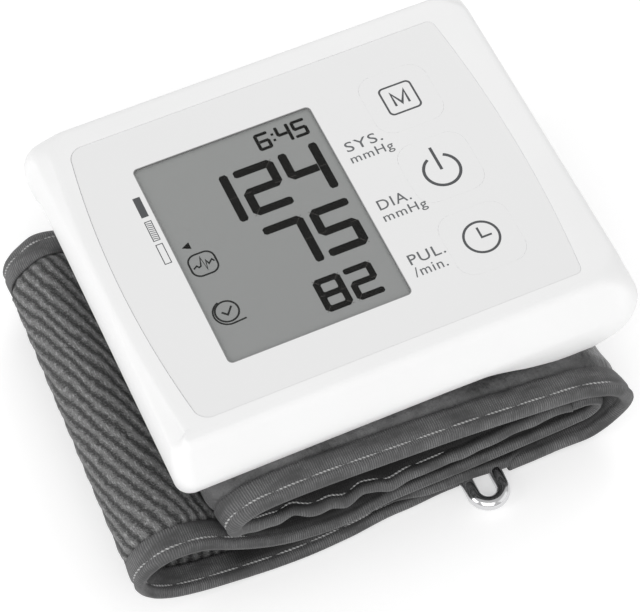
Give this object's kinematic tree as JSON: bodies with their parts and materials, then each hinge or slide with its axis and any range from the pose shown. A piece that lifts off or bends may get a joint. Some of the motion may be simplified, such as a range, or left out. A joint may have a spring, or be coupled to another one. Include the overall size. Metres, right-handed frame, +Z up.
{
  "type": "wrist blood pressure monitor",
  "caption": "Wrist blood pressure monitor: flat rounded case with a large display and a column of keys, on a padded cuff rolled up beneath it, closed by a wire ring.",
  "frame": {"origin": "On the plane that the cuff rests on, under the middle of the case.", "axes": "+Z up through the display, +X to the right of the display towards the keys and the battery door, +Y to the far side of the display."},
  "size_m": [0.099, 0.0844, 0.0445],
  "materials": {
    "shell": "satin white moulded plastic",
    "face": "smooth pale grey printed film",
    "clear": "clear glossy window",
    "display": "grey reflective liquid crystal display",
    "board": "green lacquered circuit board",
    "dark": "black moulded plastic",
    "rubber": "soft dark rubber",
    "steel": "plated steel",
    "chrome": "bright chrome plated wire",
    "brass": "turned brass",
    "nylon": "natural moulded nylon",
    "cell": "plain printed foil over steel",
    "cuff_cloth": "smooth woven nylon, dark grey",
    "loop_cloth": "brushed loop pile with fine diagonal ribs, dark grey",
    "tape": "ribbed binding tape, dark grey",
    "bladder": "thin grey elastomer"
  },
  "bodies": {
    "housing": {"upper_case": "shell", "lower_case": "shell", "face_label": "face", "display_window": "clear", "lcd_panel": "display", "lcd_holder": "nylon", "connector_strip": "rubber", "memory_switch": "steel", "power_switch": "steel", "clock_switch": "steel", "circuit_board": "board", "control_chip": "dark", "buzzer": "dark", "pressure_sensor": "dark", "pump_head": "nylon", "pump_motor": "steel", "exhaust_valve": "dark", "air_manifold": "nylon", "pump_hose": "rubber", "valve_hose": "rubber", "sensor_hose": "rubber", "battery_1": "cell", "battery_2": "cell", "positive_contact": "steel", "negative_contact": "steel", "bridge_contact": "steel", "contact_spring_1": "steel", "contact_spring_2": "steel", "case_screw_1": "steel", "case_screw_2": "steel", "case_screw_3": "steel", "case_screw_4": "steel", "cuff_plate": "dark", "plate_screw_1": "steel", "plate_screw_2": "steel", "plate_screw_3": "steel", "plate_screw_4": "steel", "cuff_cover": "cuff_cloth", "cuff_lining": "cuff_cloth", "curler_sheet": "nylon", "air_bladder": "bladder", "sleeve_front_binding": "tape", "sleeve_back_binding": "tape", "strap": "loop_cloth", "strap_front_binding": "tape", "strap_back_binding": "tape", "wire_ring": "chrome", "ring_tab": "tape", "hook_tab": "tape"},
    "memory_button": {"memory_key": "face", "memory_switch_plunger": "dark"},
    "power_button": {"power_key": "face", "power_switch_plunger": "dark"},
    "clock_button": {"clock_key": "face", "clock_switch_plunger": "dark"},
    "door": {"battery_door": "shell"},
    "crank": {"pump_crank": "brass"},
    "valve": {"valve_plunger": "brass"}
  },
  "joints": [
    {"name": "memory_press", "type": "slide", "parent": "housing", "child": "memory_button", "axis": [0, 0, -1], "range_m": [0, 0.0004], "stiffness_N_per_m": 3000},
    {"name": "power_press", "type": "slide", "parent": "housing", "child": "power_button", "axis": [0, 0, -1], "range_m": [0, 0.0004], "stiffness_N_per_m": 3000},
    {"name": "clock_press", "type": "slide", "parent": "housing", "child": "clock_button", "axis": [0, 0, -1], "range_m": [0, 0.0004], "stiffness_N_per_m": 3000},
    {"name": "door_slide", "type": "slide", "parent": "housing", "child": "door", "axis": [1, 0, 0], "range_m": [0, 0.012]},
    {"name": "crank_spin", "type": "hinge", "parent": "housing", "child": "crank", "pos_m": [0.0121, -0.02, 0.03565], "axis": [0, 1, 0], "continuous": true},
    {"name": "valve_travel", "type": "slide", "parent": "housing", "child": "valve", "axis": [0, 1, 0], "range_m": [0, 0.0008], "stiffness_N_per_m": 300}
  ]
}
